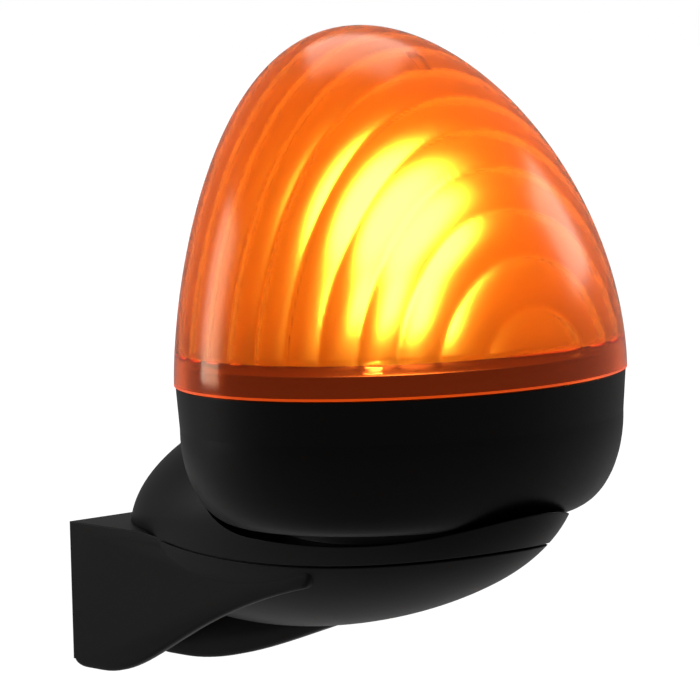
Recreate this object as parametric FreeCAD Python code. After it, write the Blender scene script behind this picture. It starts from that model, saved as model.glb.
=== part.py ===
import FreeCAD, Part

import math
import os
from FreeCAD import Placement, Rotation, Vector

# Flashing warning light on a wall arm, in millimetres.
# X points out of the wall, Y runs along it, Z is up. The origin is the middle of the wall face.

# Wall plate and arm
PLATE_HEIGHT = 45.6
PLATE_WIDTH = 72.2
PLATE_THICKNESS = 4.0
ARM_ROOF = 3.0
FIN_THICKNESS = 4.0
KEEL_THICKNESS = 5.0
LOBE_FLAT = 13.0            # level run of the lower edges, from the wall
FOOT_CORNER = (6.0, 2.4)    # rounding where the lower edges meet the wall
FIN_TIP = (107.0, -10.3)    # front end of a side fin: distance from the wall, height from the roof
FIN_PULL = (24.0, 55.0)     # lengths of the curve's handles at the lobe and at the tip
FIN_TIP_SLOPE = 0.24
KEEL_TIP = (92.0, -25.5)
KEEL_PULL = (26.0, 25.0)
KEEL_TIP_SLOPE = 0.3
EDGE_ROUND = 1.6
BOLT_SPACING = 36.0
BOLT_HOLE_R = 2.6
BOLT_UP = 10.5              # bolt line above the foot
CONDUIT_R = 5.5
CONDUIT_WALL = 2.6
CONDUIT_DROP = 9.7          # conduit axis below the roof
CONDUIT_LENGTH = 50.0

# Round pod: saddle above the parting plane, bowl below it
POD_R = 72.4
POD_HALF_HEIGHT = 37.2
POD_RISE = 12.0             # pod centre above the roof
POD_TILT = 13.3             # front up, degrees
POD_SKIN = 3.0
SEAM_RISE = 2.8             # parting plane above the roof, at the lamp axis
SEAM_SLOPE = 6.0            # down to the front, degrees
SEAM_GROOVE = (1.0, 0.7)    # depth into the skin, height
SADDLE_FLOOR = 6.5          # pocket floor above the parting plane, at the lamp axis
POCKET_SKIN = 2.5
POCKET_CORNER = 6.0

# Lamp body, an oval seen from above
AXIS_X = 114.5
POD_SETBACK = 17.6          # pod centre behind the lamp axis
RIM_RISE = 50.2             # joint of lens and base above the roof
RIM_DEPTH = 119.2
RIM_WIDTH = 146.0
LENS_OVERHANG = 0.4
BASE_CHEEK = 12.7           # height of the nearly upright wall
BASE_DRAFT = 0.8
BASE_BEND = 0.5             # upright run under the cheek, before the corner
BASE_FLOOR_R = 44.4
BASE_WALL = 2.6
BASE_FLOOR = 3.0
LEDGE = 3.0
COLLAR_HEIGHT = 6.9
COLLAR_WALL = 2.2
FIT = 0.3

# Lens
LENS_HEIGHT = 103.5
LENS_WALL = 2.6
LENS_FULLNESS = 1.79        # 2 is a true ellipse from foot to crown
LENS_LEAN = 16.7            # how far the crown leans back to the wall
LENS_LEAN_POWER = 2.08
LENS_FIT = 0.5
LENS_GAP = 0.3
CROWN_FLAT = 86.0           # degrees of the profile's quarter turn at which the crown's flat starts
FLUTE_FIRST = 20.0          # angle of the front flute, seen from above
FLUTE_STEP = 9.0
FLUTE_COUNT = 16
FLUTE_DEPTH = 0.9
FLUTE_SHARE = 0.5
FLUTE_FOOT = 9.4
GATE_X = 9.0
GATE_SIZE = (6.0, 4.0)
GATE_DROP = 15.0            # foot of the gate boss below the crown
SEAL_WIDTH = 1.5
SEAL_HEIGHT = 0.8
SEAL_INSET = 0.8

# Screws: shank radius, head radius, head height
SCREW_PLAY = 0.05
BASE_SCREW = (1.75, 3.6, 2.6)
BASE_SCREW_LENGTH = 20.0
BASE_SCREW_AT = (15.0, 22.0)
BOSS_R = 4.0
DECK_SCREW = (1.4, 2.8, 2.0)
DECK_SCREW_LENGTH = 10.0
BOARD_SCREW = (1.2, 2.4, 1.8)
BOARD_SCREW_LENGTH = 5.0
HOLDER_SCREW = (1.2, 2.2, 1.6)
SCREW_SLOT = 0.6

# Deck, posts and cable entry
DECK_TOP = 4.5
DECK_THICKNESS = 2.5
DECK_POST_INSET = 8.0
DECK_POST_R = 4.0
GROMMET_X = -28.0
GROMMET_HOLE_R = 5.5
GROMMET_FLANGE_R = 7.5
GROMMET_FLANGE = 1.4
CABLE_R = 3.5

# Bulb and lamp holder, heights from the joint of lens and base
BULB_R = 22.5
BULB_CENTRE = 45.0
GLASS_WALL = 0.8
NECK_R = 12.2
NECK_HEIGHT = 7.0
BULB_TURN_IN = 50.0         # polar angle at which the neck's curve leaves the globe
TIP_Z = -10.5
TIP_R = 4.5
TIP_HEIGHT = 1.2
INSULATOR_HEIGHT = 2.6
CAP_R = 13.15
CAP_WALL = 0.45
CAP_HEIGHT = 21.5
STEM_R = 2.6
STEM_HEIGHT = 18.0
STEM_FLARE = 2.0
FILAMENT_R = 0.6
FILAMENT_SPAN = 20.0
SUPPORT_R = 0.4
HOLDER_R = 19.0
HOLDER_BOTTOM = -27.0
HOLDER_TOP = 11.0
FLANGE_R = 25.5
FLANGE_HEIGHT = 2.5
SHELL_WALL = 0.5
SHELL_HEIGHT = 17.0
CAP_PLAY = 0.35
CONTACT_WIDTH = 6.0
CONTACT_SHEET = 0.6
CONTACT_LENGTH = 12.0
CONTACT_HEIGHT = 6.0
LEAD_R = 0.9
LEAD_SPACING = 18.0

# Flasher board
BOARD_X = (-14.0, 30.0)
BOARD_WIDTH = 68.0
BOARD_THICKNESS = 1.6
BOARD_POST = 4.5
BOARD_POST_R = 3.0
BOARD_CORNER = 4.0
TERMINAL_SIZE = (15.0, 10.0, 12.0)
TERMINAL_AT = (4.5, -26.5)
TERMINAL_POLES = 3
TERMINAL_SCREW_R = 1.8
TERMINAL_ENTRY = 3.2
CAPACITOR_R = 6.0
CAPACITOR_HEIGHT = 20.0
CAPACITOR_AT = (0.0, 27.0)
CAPACITOR_ROUND = 0.8
TRIAC_SIZE = (10.0, 4.4, 15.0)
TRIAC_AT = (15.0, 25.0)
TRIAC_LIFT = 4.0
TRIAC_LEG = 0.7
TRIAC_PITCH = 2.5
SINK_SIZE = (14.0, 1.5, 24.0)
SINK_FOOT = 5.0
RESISTOR_R = 1.7
RESISTOR_LENGTH = 8.0
RESISTOR_AT = (18.5, -24.0)
RESISTOR_LIFT = 2.6
LEAD_WIRE = 0.7
FUSE_R = 2.6
FUSE_LENGTH = 20.0
FUSE_X = 25.0
FUSE_LIFT = 4.2
CLIP_LENGTH = 5.0
CLIP_SHEET = 0.6

# Values that follow from the sizes above
BIG = 4.0 * (AXIS_X + RIM_WIDTH)
ROOF_Z = PLATE_HEIGHT / 2.0
FOOT_Z = -PLATE_HEIGHT / 2.0
RIM_Z = ROOF_Z + RIM_RISE
POD_X = AXIS_X - POD_SETBACK
LENS_A = RIM_DEPTH / 2.0
LENS_B = RIM_WIDTH / 2.0
BASE_A = LENS_A - LENS_OVERHANG
OVAL = LENS_B / LENS_A
BASE_HEIGHT = RIM_RISE - SEAM_RISE - SADDLE_FLOOR - FIT
FLOOR_Z = BASE_FLOOR - BASE_HEIGHT
COLLAR_INSET = LENS_WALL + LENS_FIT
DECK_INSET = COLLAR_INSET + COLLAR_WALL + FIT
DECK_A = LENS_A - DECK_INSET
DECK_B = LENS_B - DECK_INSET
DECK_Z = DECK_TOP - DECK_THICKNESS
CAP_Z = TIP_Z + TIP_HEIGHT + INSULATOR_HEIGHT
CAP_TOP = CAP_Z + CAP_HEIGHT
SHELL_IN_R = CAP_R + CAP_PLAY
SHELL_OUT_R = SHELL_IN_R + SHELL_WALL
BORE_FLOOR = TIP_Z - FIT - CONTACT_HEIGHT
BOARD_Z = FLOOR_Z + BOARD_POST
BOARD_TOP = BOARD_Z + BOARD_THICKNESS
BOARD_MID = sum(BOARD_X) / 2.0
QUARTER_WEIGHT = math.sqrt(0.5)


def polygon(points):
    """Closed face through points (x, z) of the XZ plane."""
    ring = [Vector(x, 0, z) for x, z in points]
    return Part.Face(Part.makePolygon(ring + ring[:1]))


def quarter(start, corner, end):
    """Exact quarter ellipse in the XZ plane, tangent to the corner's two sides."""
    curve = Part.BezierCurve()
    curve.setPoles([Vector(x, 0, z) for x, z in (start, corner, end)])
    curve.setWeight(2, QUARTER_WEIGHT)
    return curve.toShape()


def bezier(*poles):
    """Bezier edge through the XZ plane."""
    curve = Part.BezierCurve()
    curve.setPoles([Vector(x, 0, z) for x, z in poles])
    return curve.toShape()


def line(start, end):
    """Straight edge in the XZ plane."""
    return Part.makeLine(Vector(start[0], 0, start[1]), Vector(end[0], 0, end[1]))


def face(*edges):
    """Face bounded by edges given in order."""
    return Part.Face(Part.Wire(list(edges)))


def spin(profile):
    """Solid of revolution about Z of a face in the XZ plane."""
    return profile.revolve(Vector(0, 0, 0), Vector(0, 0, 1), 360)


def turned(points):
    """Solid of revolution about Z of the polygon (r, z)."""
    return spin(polygon(points))


def rod(radius, z0, z1, x=0.0, y=0.0):
    """Upright cylinder between two heights."""
    return Part.makeCylinder(radius, z1 - z0, Vector(x, y, z0))


def block(size, x, y, z):
    """Box centred on (x, y) that stands on height z."""
    return Part.makeBox(size[0], size[1], size[2], Vector(x - size[0] / 2, y - size[1] / 2, z))


def fuse(shapes):
    """One solid from several that meet."""
    first, *rest = shapes
    return first.multiFuse(rest).removeSplitter()


def oval_wire(a, b, x, z):
    """Ellipse at height z with half depth a along X and half width b along Y."""
    centre = Vector(x, 0, z)
    along_x = centre + Vector(a, 0, 0)
    along_y = centre + Vector(0, b, 0)
    ends = (along_y, centre - Vector(a, 0, 0)) if b > a else (along_x, along_y)
    return Part.Wire(Part.Ellipse(*ends, centre).toShape())


def oval(a, b, z0, z1):
    """Upright prism on an ellipse."""
    return Part.Face(oval_wire(a, b, 0.0, z0)).extrude(Vector(0, 0, z1 - z0))


def rim_oval(inset, z0, z1):
    """Prism that follows the lens's foot at a constant inset."""
    return oval(LENS_A - inset, LENS_B - inset, z0, z1)


def at_lamp(shape):
    """Carries a piece from the lamp's own axis and rim to its place on the arm."""
    return shape.translated(Vector(AXIS_X, 0, RIM_Z))


def four(point):
    """The point and its three mirror images."""
    x, y = point
    return [(sx * x, sy * y) for sx in (1, -1) for sy in (1, -1)]


def screw_holes(size, z0, z1, places):
    """Round holes between two heights, with play round a screw's shank."""
    return [rod(size[0] + SCREW_PLAY, z0, z1, x, y) for x, y in places]


def screw(size, length, x, y, seat):
    """Slotted pan-head screw whose head sits on height seat."""
    shank, head, height = size
    body = fuse([rod(shank, seat - length, seat, x, y), rod(head, seat, seat + height, x, y)])
    slot = block((2 * head, SCREW_SLOT, height), x, y, seat + height / 2)
    return body.cut(slot)


# Parting plane and round pod

def seam_side(above):
    """Half space above or below the sloping parting plane."""
    corner = Vector(-BIG / 2, -BIG / 2, 0.0 if above else -BIG)
    half = Part.makeBox(BIG, BIG, BIG, corner)
    middle = Vector(AXIS_X, 0, ROOF_Z + SEAM_RISE)
    half.Placement = Placement(middle, Rotation(Vector(0, 1, 0), SEAM_SLOPE))
    return half


def pod(inset):
    """Flattened round solid of saddle and bowl, its surface moved in by inset."""
    radius = POD_R - inset
    half = POD_HALF_HEIGHT - inset
    lower = quarter((0, -half), (radius, -half), (radius, 0))
    upper = quarter((radius, 0), (radius, half), (0, half))
    solid = spin(face(lower, upper, line((0, half), (0, -half))))
    solid.Placement = Placement(
        Vector(POD_X, 0, ROOF_Z + POD_RISE), Rotation(Vector(0, 1, 0), -POD_TILT)
    )
    return solid


def cup(grow, floor, floor_r, corner_z):
    """Oval cup form about the lamp axis: upright wall, then a rounded corner down to the floor."""
    top = BASE_A + grow
    cheek = top - BASE_DRAFT
    profile = face(
        line((0, 0), (0, floor)),
        line((0, floor), (floor_r, floor)),
        quarter((floor_r, floor), (cheek, floor), (cheek, corner_z)),
        line((cheek, corner_z), (cheek, -BASE_CHEEK)),
        line((cheek, -BASE_CHEEK), (top, 0)),
        line((top, 0), (0, 0)),
    )
    widen = FreeCAD.Matrix()
    widen.scale(1.0, OVAL, 1.0)
    return spin(profile).transformGeometry(widen)


def base_form(inset, floor_inset):
    """Outside of the base, or its inside at a wall's thickness."""
    corner = -BASE_CHEEK - BASE_BEND
    return cup(-inset, floor_inset - BASE_HEIGHT, BASE_FLOOR_R, corner)


def pocket_form(skin):
    """Room for the base in the saddle, or that room with its wall round it."""
    floor = -BASE_HEIGHT - FIT - skin
    wall = BASE_A - BASE_DRAFT + FIT
    return cup(FIT + skin, floor, wall - POCKET_CORNER, floor + POCKET_CORNER + skin)


def at_base_screws(radius, z0, z1):
    """Four rods on the axes of the long screws, placed on the arm."""
    return [at_lamp(rod(radius, z0, z1, x, y)) for x, y in four(BASE_SCREW_AT)]


def fin_outline(tip, pull, slope):
    """Side view of a fin or keel: level lobe at the wall, then an S-curve up to its tip."""
    tip_x, tip_z = tip[0], ROOF_Z + tip[1]
    corner_x, corner_z = FOOT_CORNER
    lobe = (LOBE_FLAT, FOOT_Z)
    return face(
        line((0, ROOF_Z), (0, FOOT_Z + corner_z)),
        quarter((0, FOOT_Z + corner_z), (0, FOOT_Z), (corner_x, FOOT_Z)),
        line((corner_x, FOOT_Z), lobe),
        bezier(
            lobe,
            (LOBE_FLAT + pull[0], FOOT_Z),
            (tip_x - pull[1], tip_z - slope * pull[1]),
            (tip_x, tip_z),
        ),
        line((tip_x, tip_z), (tip_x, ROOF_Z)),
        line((tip_x, ROOF_Z), (0, ROOF_Z)),
    )


def fin(outline, thickness, y):
    """Upright rib with rounded lower edges, centred on y."""
    rib = outline.extrude(Vector(0, thickness, 0))
    low = [e for e in rib.Edges if is_lower_edge(e)]
    rib = rib.makeFillet(min(EDGE_ROUND, 0.4 * thickness), low)
    return rib.translated(Vector(0, y - thickness / 2, 0))


def is_lower_edge(edge):
    """True for the long curved edges and level lobe edges of a rib's two faces."""
    ends = [v.Point for v in edge.Vertexes]
    flat = abs(ends[0].y - ends[1].y) < 1e-6
    box = edge.BoundBox
    return flat and box.XMax > FOOT_CORNER[0] + 1 and box.ZMin < ROOF_Z - 1 and box.XLength > 1


def wall_arm():
    """Wall plate, fins, keel, cable conduit and bowl in one moulding."""
    half_width = PLATE_WIDTH / 2
    side = fin_outline(FIN_TIP, FIN_PULL, FIN_TIP_SLOPE)
    keel = fin_outline(KEEL_TIP, KEEL_PULL, KEEL_TIP_SLOPE)
    plate_foot = FOOT_Z + FOOT_CORNER[1]
    plate_size = (PLATE_THICKNESS, PLATE_WIDTH, ROOF_Z - plate_foot)
    plate = block(plate_size, PLATE_THICKNESS / 2, 0, plate_foot)
    roof = block((POD_X, PLATE_WIDTH, ARM_ROOF), POD_X / 2, 0, ROOF_Z - ARM_ROOF)
    conduit_z = ROOF_Z - CONDUIT_DROP
    along = Vector(1, 0, 0)
    tube = Part.makeCylinder(CONDUIT_R + CONDUIT_WALL, CONDUIT_LENGTH, Vector(0, 0, conduit_z), along)
    solid = fuse([
        pod(0.0),
        plate,
        roof,
        tube,
        fin(side, FIN_THICKNESS, half_width - FIN_THICKNESS / 2),
        fin(side, FIN_THICKNESS, FIN_THICKNESS / 2 - half_width),
        fin(keel, KEEL_THICKNESS, 0.0),
    ])
    below = seam_side(above=False)
    bosses = [b.common(pod(0.0)) for b in at_base_screws(BOSS_R, -BIG, 0.0)]
    solid = solid.cut(pod(POD_SKIN)).multiFuse(bosses).common(below)
    bolts = [
        Part.makeCylinder(BOLT_HOLE_R, PLATE_THICKNESS, Vector(0, side_y, FOOT_Z + BOLT_UP), along)
        for side_y in (-BOLT_SPACING / 2, BOLT_SPACING / 2)
    ]
    bore = Part.makeCylinder(CONDUIT_R, CONDUIT_LENGTH, Vector(0, 0, conduit_z), along)
    screw_end = FLOOR_Z - BASE_SCREW_LENGTH
    pilots = at_base_screws(BASE_SCREW[0] + SCREW_PLAY, screw_end, 0.0)
    return solid.cut(bolts + [bore, seam_groove()] + pilots).removeSplitter()


def seam_groove():
    """Shadow groove round the bowl, just under the parting plane."""
    depth, height = SEAM_GROOVE
    low = seam_side(above=True).translated(Vector(0, 0, -height))
    return pod(0.0).cut(pod(depth)).common(low)


def saddle():
    """Upper shell of the pod, with the pocket that the lamp's cup sits in."""
    above = seam_side(above=True)
    hollow = pod(POD_SKIN).cut(at_lamp(pocket_form(POCKET_SKIN)))
    bosses = [b.common(pod(0.0)) for b in at_base_screws(BOSS_R, -BIG, 0.0)]
    shell = pod(0.0).cut(hollow).multiFuse(bosses).common(above)
    holes = at_base_screws(BASE_SCREW[0] + SCREW_PLAY, -BIG, 0.0)
    room = [pocket_form(0.0), rod(RIM_WIDTH, 0.0, BIG), rod(GROMMET_FLANGE_R + FIT, -BIG, 0.0, GROMMET_X)]
    return shell.cut(holes + [at_lamp(r) for r in room]).removeSplitter()


# Lamp pieces, built about the lamp axis with the rim at height 0

def deck_posts():
    """Places of the four posts that carry the deck."""
    turn = math.radians(45.0)
    x = (DECK_A - DECK_POST_INSET) * math.cos(turn)
    y = (DECK_B - DECK_POST_INSET) * math.sin(turn)
    return four((x, y))


def board_posts():
    """Places of the four posts that carry the board."""
    half = BOARD_WIDTH / 2 - BOARD_CORNER
    back, front = BOARD_X[0] + BOARD_CORNER, BOARD_X[1] - BOARD_CORNER
    return [(x, y) for x in (back, front) for y in (-half, half)]


def lamp_base():
    """Oval cup with ledge and collar, posts for deck and board, and the cable entry."""
    full = fuse([base_form(0.0, 0.0), rim_oval(COLLAR_INSET, -LEDGE, COLLAR_HEIGHT)])
    room = base_form(BASE_WALL, BASE_FLOOR).common(rod(RIM_WIDTH, -BASE_HEIGHT, -LEDGE))
    mouth = rim_oval(COLLAR_INSET + COLLAR_WALL, -LEDGE, COLLAR_HEIGHT)
    posts = [rod(DECK_POST_R, -BASE_HEIGHT, DECK_Z, x, y) for x, y in deck_posts()]
    posts += [rod(BOARD_POST_R, -BASE_HEIGHT, BOARD_Z, x, y) for x, y in board_posts()]
    solid = fuse([full.cut([room, mouth])] + [p.common(full) for p in posts])
    deck_low = DECK_TOP - DECK_SCREW_LENGTH
    board_low = BOARD_TOP - BOARD_SCREW_LENGTH
    cuts = screw_holes(DECK_SCREW, deck_low, DECK_TOP, deck_posts())
    cuts += screw_holes(BOARD_SCREW, board_low, BOARD_TOP, board_posts())
    cuts += screw_holes(BASE_SCREW, -BASE_HEIGHT, FLOOR_Z, four(BASE_SCREW_AT))
    cuts += [rod(GROMMET_HOLE_R, -BASE_HEIGHT, FLOOR_Z, GROMMET_X), seal_ring(0.0)]
    return solid.cut(cuts).removeSplitter()


def seal_ring(play):
    """Flat oval ring sunk in the ledge, smaller than its groove by play."""
    outer = LENS_OVERHANG + SEAL_INSET
    ring = rim_oval(outer + play, -SEAL_HEIGHT, 0.0)
    return ring.cut(rim_oval(outer + SEAL_WIDTH - play, -SEAL_HEIGHT, 0.0))


def cable_grommet():
    """Rubber ring with a flange on each side of the cup's floor."""
    low = -BASE_HEIGHT
    return turned([
        (CABLE_R, low - GROMMET_FLANGE),
        (GROMMET_FLANGE_R, low - GROMMET_FLANGE),
        (GROMMET_FLANGE_R, low),
        (GROMMET_HOLE_R, low),
        (GROMMET_HOLE_R, FLOOR_Z),
        (GROMMET_FLANGE_R, FLOOR_Z),
        (GROMMET_FLANGE_R, FLOOR_Z + GROMMET_FLANGE),
        (CABLE_R, FLOOR_Z + GROMMET_FLANGE),
    ]).translated(Vector(GROMMET_X, 0, 0))


def deck_plate():
    """Plate that closes the cup and carries the lamp holder."""
    plate = oval(DECK_A, DECK_B, DECK_Z, DECK_TOP)
    cuts = [rod(HOLDER_R + FIT, DECK_Z, DECK_TOP)]
    cuts += screw_holes(DECK_SCREW, DECK_Z, DECK_TOP, deck_posts())
    cuts += screw_holes(HOLDER_SCREW, DECK_Z, DECK_TOP, flange_screws())
    return plate.cut(cuts)


def flange_screws():
    """Places of the two screws in the lamp holder's flange."""
    middle = (HOLDER_R + FLANGE_R) / 2
    return [(-middle, 0.0), (middle, 0.0)]


def lamp_holder():
    """Moulded screw lamp holder with a flange on the deck and a bore for the bulb."""
    flange_top = DECK_TOP + FLANGE_HEIGHT
    solid = turned([
        (0, HOLDER_BOTTOM),
        (HOLDER_R, HOLDER_BOTTOM),
        (HOLDER_R, DECK_TOP),
        (FLANGE_R, DECK_TOP),
        (FLANGE_R, flange_top),
        (HOLDER_R, flange_top),
        (HOLDER_R, HOLDER_TOP),
        (SHELL_OUT_R + SCREW_PLAY, HOLDER_TOP),
        (SHELL_OUT_R + SCREW_PLAY, BORE_FLOOR),
        (0, BORE_FLOOR),
    ])
    return solid.cut(screw_holes(HOLDER_SCREW, DECK_TOP, flange_top, flange_screws()))


def socket_shell():
    """Metal liner of the lamp holder, with a foot that stands on the bore's floor."""
    top = BORE_FLOOR + CONTACT_HEIGHT + SHELL_HEIGHT
    return rod(SHELL_OUT_R, BORE_FLOOR, top).cut(rod(SHELL_IN_R, BORE_FLOOR, top))


def socket_contact():
    """Sprung tongue under the bulb's tip, folded from one strip."""
    left, right = -CONTACT_LENGTH / 2, CONTACT_LENGTH / 2
    low, high = BORE_FLOOR, BORE_FLOOR + CONTACT_HEIGHT
    sheet = CONTACT_SHEET
    strip = polygon([
        (left, low), (right, low), (right, high), (left, high), (left, high - sheet),
        (right - sheet, high - sheet), (right - sheet, low + sheet), (left, low + sheet),
    ])
    return strip.extrude(Vector(0, CONTACT_WIDTH, 0)).translated(Vector(0, -CONTACT_WIDTH / 2, 0))


# Lens

def dome(a, b, height, foot):
    """Half-egg solid: ovals whose centres lean back to the wall as they rise."""
    turns = [CROWN_FLAT * k / 9 for k in range(10)]
    rings = []
    for turn in turns:
        rise = math.sin(math.radians(turn)) ** (2.0 / LENS_FULLNESS)
        size = math.cos(math.radians(turn))
        back = -LENS_LEAN * rise ** LENS_LEAN_POWER
        rings.append(oval_wire(a * size, b * size, back, foot + (height - foot) * rise))
    return Part.makeLoft(rings, True, False)


def inner_dome(extra):
    """Inside of the lens, made larger by extra."""
    inset = LENS_WALL - extra
    return dome(LENS_A - inset, LENS_B - inset, LENS_HEIGHT - inset, LENS_GAP)


def flute_slabs():
    """Upright slabs square to X, one per hoop flute."""
    half = FLUTE_STEP * FLUTE_SHARE / 2
    slabs = []
    for k in range(FLUTE_COUNT):
        middle = FLUTE_FIRST + k * FLUTE_STEP
        near = LENS_A * math.cos(math.radians(middle + half))
        far = LENS_A * math.cos(math.radians(middle - half))
        slabs.append(block((far - near, BIG, LENS_HEIGHT), (far + near) / 2, 0, FLUTE_FOOT))
    return slabs


def lens_dome():
    """Orange lens: smooth outside, hoop flutes and a small gate boss inside."""
    outside = dome(LENS_A, LENS_B, LENS_HEIGHT, LENS_GAP)
    inside = inner_dome(0.0)
    gate = block((*GATE_SIZE, GATE_DROP), GATE_X, 0, LENS_HEIGHT - GATE_DROP).common(outside)
    flutes = inner_dome(FLUTE_DEPTH).common(Part.makeCompound(flute_slabs()))
    return outside.cut(inside).cut(flutes).fuse(gate)


# Bulb

def globe_profile(shrink):
    """Edges of the bulb from the neck's foot to the crown, moved in by shrink."""
    radius = BULB_R - shrink
    neck = NECK_R - shrink
    turn = math.radians(BULB_TURN_IN)
    leave = (radius * math.sin(turn), BULB_CENTRE - radius * math.cos(turn))
    pull = NECK_HEIGHT / 1.4
    foot = CAP_TOP - NECK_HEIGHT / 2
    bend = CAP_TOP + NECK_HEIGHT / 2
    arc = Part.Arc(
        Vector(leave[0], 0, leave[1]),
        Vector(radius, 0, BULB_CENTRE),
        Vector(0, 0, BULB_CENTRE + radius),
    ).toShape()
    throat = bezier(
        (neck, bend),
        (neck, bend + pull),
        (leave[0] - pull * math.cos(turn), leave[1] - pull * math.sin(turn)),
        leave,
    )
    return [line((neck, foot), (neck, bend)), throat, arc]


def bulb_glass():
    """Blown glass globe with its neck, open at the foot."""
    foot = CAP_TOP - NECK_HEIGHT / 2
    crown = BULB_CENTRE + BULB_R
    rim = line((NECK_R - GLASS_WALL, foot), (NECK_R, foot))
    axis = line((0, crown), (0, crown - GLASS_WALL))
    edges = Part.__sortEdges__(globe_profile(0.0) + globe_profile(GLASS_WALL) + [rim, axis])
    return spin(Part.Face(Part.Wire(edges)))


def bulb_cap():
    """Metal screw cap, a thin can round the neck and on the insulator."""
    inner = CAP_R - CAP_WALL
    return turned([
        (0, CAP_Z), (CAP_R, CAP_Z), (CAP_R, CAP_TOP),
        (inner, CAP_TOP), (inner, CAP_Z + CAP_WALL), (0, CAP_Z + CAP_WALL),
    ])


def bulb_insulator():
    """Glass button between cap and tip."""
    low = CAP_Z - INSULATOR_HEIGHT
    return turned([(0, low), (TIP_R + 1.0, low), (CAP_R - 2.0, CAP_Z), (0, CAP_Z)])


def bulb_contact():
    """Solder tip under the insulator."""
    high = TIP_Z + TIP_HEIGHT
    return turned([(0, TIP_Z), (TIP_R - 1.0, TIP_Z), (TIP_R, high), (0, high)])


def bulb_stem():
    """Glass stem that closes the neck and carries the wires."""
    foot = CAP_TOP - NECK_HEIGHT / 2
    flare = NECK_R - GLASS_WALL
    return turned([
        (0, foot), (flare, foot), (flare, foot + STEM_FLARE), (STEM_R, foot + 2 * STEM_FLARE),
        (STEM_R, foot + STEM_HEIGHT), (0, foot + STEM_HEIGHT),
    ])


def bulb_filament():
    """Two support wires on the stem and the coiled filament between them."""
    stem_top = CAP_TOP - NECK_HEIGHT / 2 + STEM_HEIGHT
    half = FILAMENT_SPAN / 2
    coil = Part.makeCylinder(FILAMENT_R, FILAMENT_SPAN, Vector(0, -half, BULB_CENTRE), Vector(0, 1, 0))
    pieces = [coil]
    for side in (-1, 1):
        foot = Vector(0, side * STEM_R / 2, stem_top)
        head = Vector(0, side * half, BULB_CENTRE)
        leg = head - foot
        wire = Part.makeCylinder(SUPPORT_R, leg.Length, foot, leg)
        pieces.append(wire.common(rod(BULB_R, stem_top, BULB_CENTRE + FILAMENT_R)))
    return fuse(pieces)


# Flasher board and what stands on it

def flasher_board():
    """Circuit board with its corner holes."""
    depth = BOARD_X[1] - BOARD_X[0]
    board = block((depth, BOARD_WIDTH, BOARD_THICKNESS), BOARD_MID, 0, BOARD_Z)
    return board.cut(screw_holes(BOARD_SCREW, BOARD_Z, BOARD_TOP, board_posts()))


def terminal_poles():
    """Centres along X of the terminal block's poles."""
    pitch = TERMINAL_SIZE[0] / TERMINAL_POLES
    first = TERMINAL_AT[0] - pitch * (TERMINAL_POLES - 1) / 2
    return [first + pitch * k for k in range(TERMINAL_POLES)]


def terminal_block():
    """Moulded block with a wire entry and a screw well for each pole."""
    x, y = TERMINAL_AT
    depth, width, height = TERMINAL_SIZE
    body = block(TERMINAL_SIZE, x, y, BOARD_TOP)
    entry = (TERMINAL_ENTRY, width / 2, TERMINAL_ENTRY)
    cuts = [block(entry, pole, y - width / 4, BOARD_TOP + height / 4) for pole in terminal_poles()]
    well = BOARD_TOP + 2 * height / 3
    top = BOARD_TOP + height
    cuts += [rod(TERMINAL_SCREW_R + SCREW_PLAY, well, top, pole, y) for pole in terminal_poles()]
    return body.cut(cuts)


def terminal_screws():
    """One clamp screw per pole, in its well."""
    y, height = TERMINAL_AT[1], TERMINAL_SIZE[2]
    low = BOARD_TOP + 2 * height / 3
    high = BOARD_TOP + height - SCREW_SLOT
    slot = (2 * TERMINAL_SCREW_R, SCREW_SLOT, SCREW_SLOT)
    return Part.makeCompound([
        rod(TERMINAL_SCREW_R, low, high, pole, y).cut(block(slot, pole, y, high - SCREW_SLOT))
        for pole in terminal_poles()
    ])


def capacitor():
    """Electrolytic can standing on the board, with a rounded top edge."""
    x, y = CAPACITOR_AT
    can = rod(CAPACITOR_R, BOARD_TOP, BOARD_TOP + CAPACITOR_HEIGHT, x, y)
    top = [e for e in can.Edges if e.BoundBox.ZMin > BOARD_TOP + CAPACITOR_HEIGHT / 2]
    return can.makeFillet(CAPACITOR_ROUND, top)


def triac():
    """Power switch: moulded body on three legs that stand on the board."""
    x, y = TRIAC_AT
    low = BOARD_TOP + TRIAC_LIFT
    legs = [
        block((TRIAC_LEG, TRIAC_LEG, TRIAC_LIFT), x + k * TRIAC_PITCH, y, BOARD_TOP) for k in (-1, 0, 1)
    ]
    return fuse([block(TRIAC_SIZE, x, y, low)] + legs)


def heat_sink():
    """Folded sheet behind the triac, with its foot on the board."""
    x = TRIAC_AT[0]
    width, sheet, height = SINK_SIZE
    back = TRIAC_AT[1] + TRIAC_SIZE[1] / 2
    wall = block((width, sheet, height), x, back + sheet / 2, BOARD_TOP)
    foot = block((width, SINK_FOOT, sheet), x, back + SINK_FOOT / 2, BOARD_TOP)
    return fuse([wall, foot])


def resistor():
    """Axial resistor on a lead that is bent down to the board at both ends."""
    x, y = RESISTOR_AT
    low, middle = BOARD_TOP, BOARD_TOP + RESISTOR_LIFT
    half = RESISTOR_LENGTH / 2
    inner, outer = half + LEAD_WIRE, half + 2 * LEAD_WIRE
    body = Part.makeCylinder(RESISTOR_R, RESISTOR_LENGTH, Vector(-half, 0, middle), Vector(1, 0, 0))
    under, over = middle - LEAD_WIRE / 2, middle + LEAD_WIRE / 2
    lead = polygon([
        (-outer, low), (-inner, low), (-inner, under), (inner, under),
        (inner, low), (outer, low), (outer, over), (-outer, over),
    ]).extrude(Vector(0, LEAD_WIRE, 0))
    return fuse([body, lead.translated(Vector(0, -LEAD_WIRE / 2, 0))]).translated(Vector(x, y, 0))


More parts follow.
